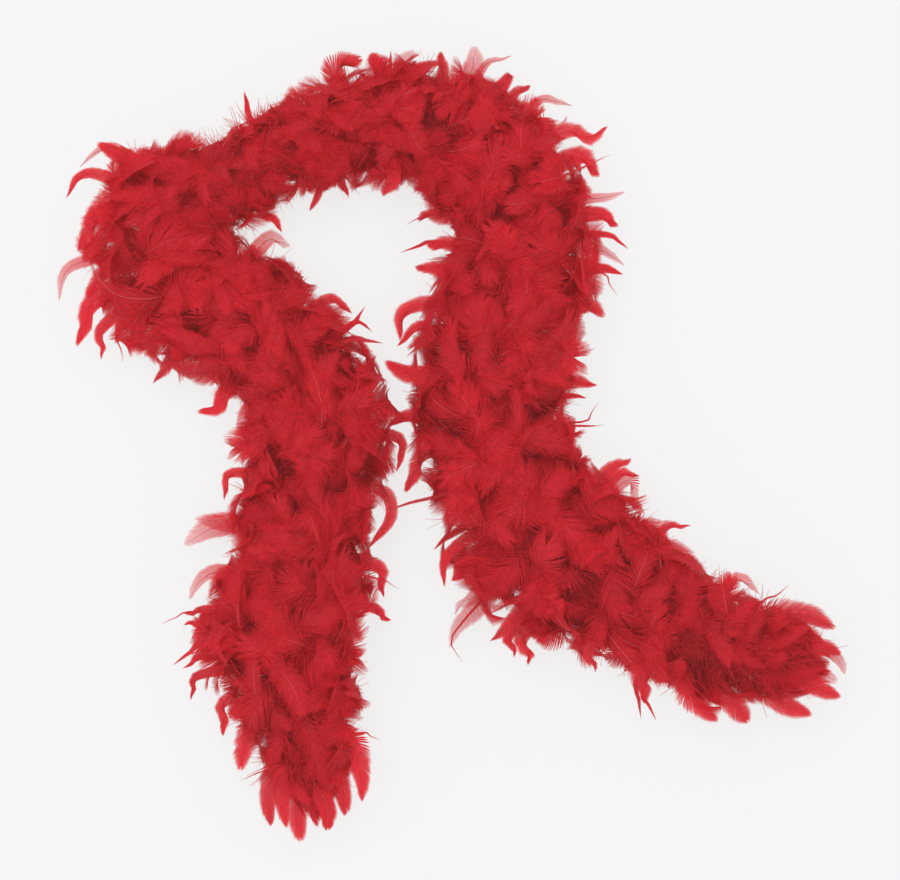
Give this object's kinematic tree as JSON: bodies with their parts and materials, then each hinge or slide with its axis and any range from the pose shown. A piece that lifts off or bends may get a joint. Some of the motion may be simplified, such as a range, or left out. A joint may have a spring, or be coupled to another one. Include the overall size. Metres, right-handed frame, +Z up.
{
  "type": "feather boa",
  "caption": "Fluffy dyed feather boa: feathers stitched all round a limp twisted cord, lying in a loose loop with its ends spread, bendable along its length.",
  "frame": {"origin": "on the surface that the boa lies on, below the centre of its outline seen from above", "axes": "+Z up from the surface; +Y from the spread ends towards the neck loop; +X to the right seen from above with the neck loop at the top"},
  "size_m": [0.8054, 0.8108, 0.1264],
  "materials": {
    "feathers": "dyed red chandelle feathers, soft and matt with a faint sheen, brighter at the tips and dark wine red deep inside",
    "cord": "dyed soft twisted cotton string, matt, slightly fuzzy",
    "thread": "dyed spun sewing thread, matt"
  },
  "bodies": {
    "length_01": {"core_cord_a_01": "cord", "core_cord_b_01": "cord", "lock_stitch_01": "thread", "feather_tuft_01": "feathers", "end_knot_left": "cord", "cord_tail_a_left": "cord", "cord_tail_b_left": "cord"},
    "length_02": {"core_cord_a_02": "cord", "core_cord_b_02": "cord", "lock_stitch_02": "thread", "feather_tuft_02": "feathers"},
    "length_03": {"core_cord_a_03": "cord", "core_cord_b_03": "cord", "lock_stitch_03": "thread", "feather_tuft_03": "feathers"},
    "length_04": {"core_cord_a_04": "cord", "core_cord_b_04": "cord", "lock_stitch_04": "thread", "feather_tuft_04": "feathers"},
    "length_05": {"core_cord_a_05": "cord", "core_cord_b_05": "cord", "lock_stitch_05": "thread", "feather_tuft_05": "feathers"},
    "length_06": {"core_cord_a_06": "cord", "core_cord_b_06": "cord", "lock_stitch_06": "thread", "feather_tuft_06": "feathers"},
    "length_07": {"core_cord_a_07": "cord", "core_cord_b_07": "cord", "lock_stitch_07": "thread", "feather_tuft_07": "feathers"},
    "length_08": {"core_cord_a_08": "cord", "core_cord_b_08": "cord", "lock_stitch_08": "thread", "feather_tuft_08": "feathers"},
    "length_09": {"core_cord_a_09": "cord", "core_cord_b_09": "cord", "lock_stitch_09": "thread", "feather_tuft_09": "feathers"},
    "length_10": {"core_cord_a_10": "cord", "core_cord_b_10": "cord", "lock_stitch_10": "thread", "feather_tuft_10": "feathers"},
    "length_11": {"core_cord_a_11": "cord", "core_cord_b_11": "cord", "lock_stitch_11": "thread", "feather_tuft_11": "feathers"},
    "length_12": {"core_cord_a_12": "cord", "core_cord_b_12": "cord", "lock_stitch_12": "thread", "feather_tuft_12": "feathers", "end_knot_right": "cord", "cord_tail_a_right": "cord", "cord_tail_b_right": "cord"}
  },
  "joints": [
    {"name": "swing_01", "type": "hinge", "parent": "length_02", "child": "length_01", "pos_m": [-0.1744, -0.20305, 0.048], "axis": [0, 0, -1], "range_deg": [-30, 30]},
    {"name": "lift_02", "type": "hinge", "parent": "length_03", "child": "length_02", "pos_m": [-0.14428, -0.06313, 0.048], "axis": [-0.9802, 0.1979, 0], "range_deg": [0, 30]},
    {"name": "swing_03", "type": "hinge", "parent": "length_04", "child": "length_03", "pos_m": [-0.16634, 0.073, 0.048], "axis": [0, 0, -1], "range_deg": [0, 30]},
    {"name": "lift_04", "type": "hinge", "parent": "length_05", "child": "length_04", "pos_m": [-0.27191, 0.16896, 0.048], "axis": [-0.7307, -0.6827, 0], "range_deg": [0, 30]},
    {"name": "swing_05", "type": "hinge", "parent": "length_06", "child": "length_05", "pos_m": [-0.22975, 0.27827, 0.048], "axis": [0, 0, -1], "range_deg": [0, 30]},
    {"name": "lift_06", "type": "hinge", "parent": "length_06", "child": "length_07", "pos_m": [-0.0955, 0.32633, 0.048], "axis": [0.1566, -0.9877, 0], "range_deg": [0, 30]},
    {"name": "swing_07", "type": "hinge", "parent": "length_07", "child": "length_08", "pos_m": [0.037, 0.29339, 0.048], "axis": [0, 0, 1], "range_deg": [0, 30]},
    {"name": "lift_08", "type": "hinge", "parent": "length_08", "child": "length_09", "pos_m": [0.05998, 0.16187, 0.048], "axis": [-0.9522, 0.3055, 0], "range_deg": [0, 30]},
    {"name": "swing_09", "type": "hinge", "parent": "length_09", "child": "length_10", "pos_m": [0.0429, 0.02159, 0.048], "axis": [0, 0, 1], "range_deg": [0, 30]},
    {"name": "lift_10", "type": "hinge", "parent": "length_10", "child": "length_11", "pos_m": [0.10255, -0.10189, 0.048], "axis": [-0.6502, -0.7598, 0], "range_deg": [0, 30]},
    {"name": "swing_11", "type": "hinge", "parent": "length_11", "child": "length_12", "pos_m": [0.22026, -0.18273, 0.048], "axis": [0, 0, 1], "range_deg": [-30, 30]}
  ]
}
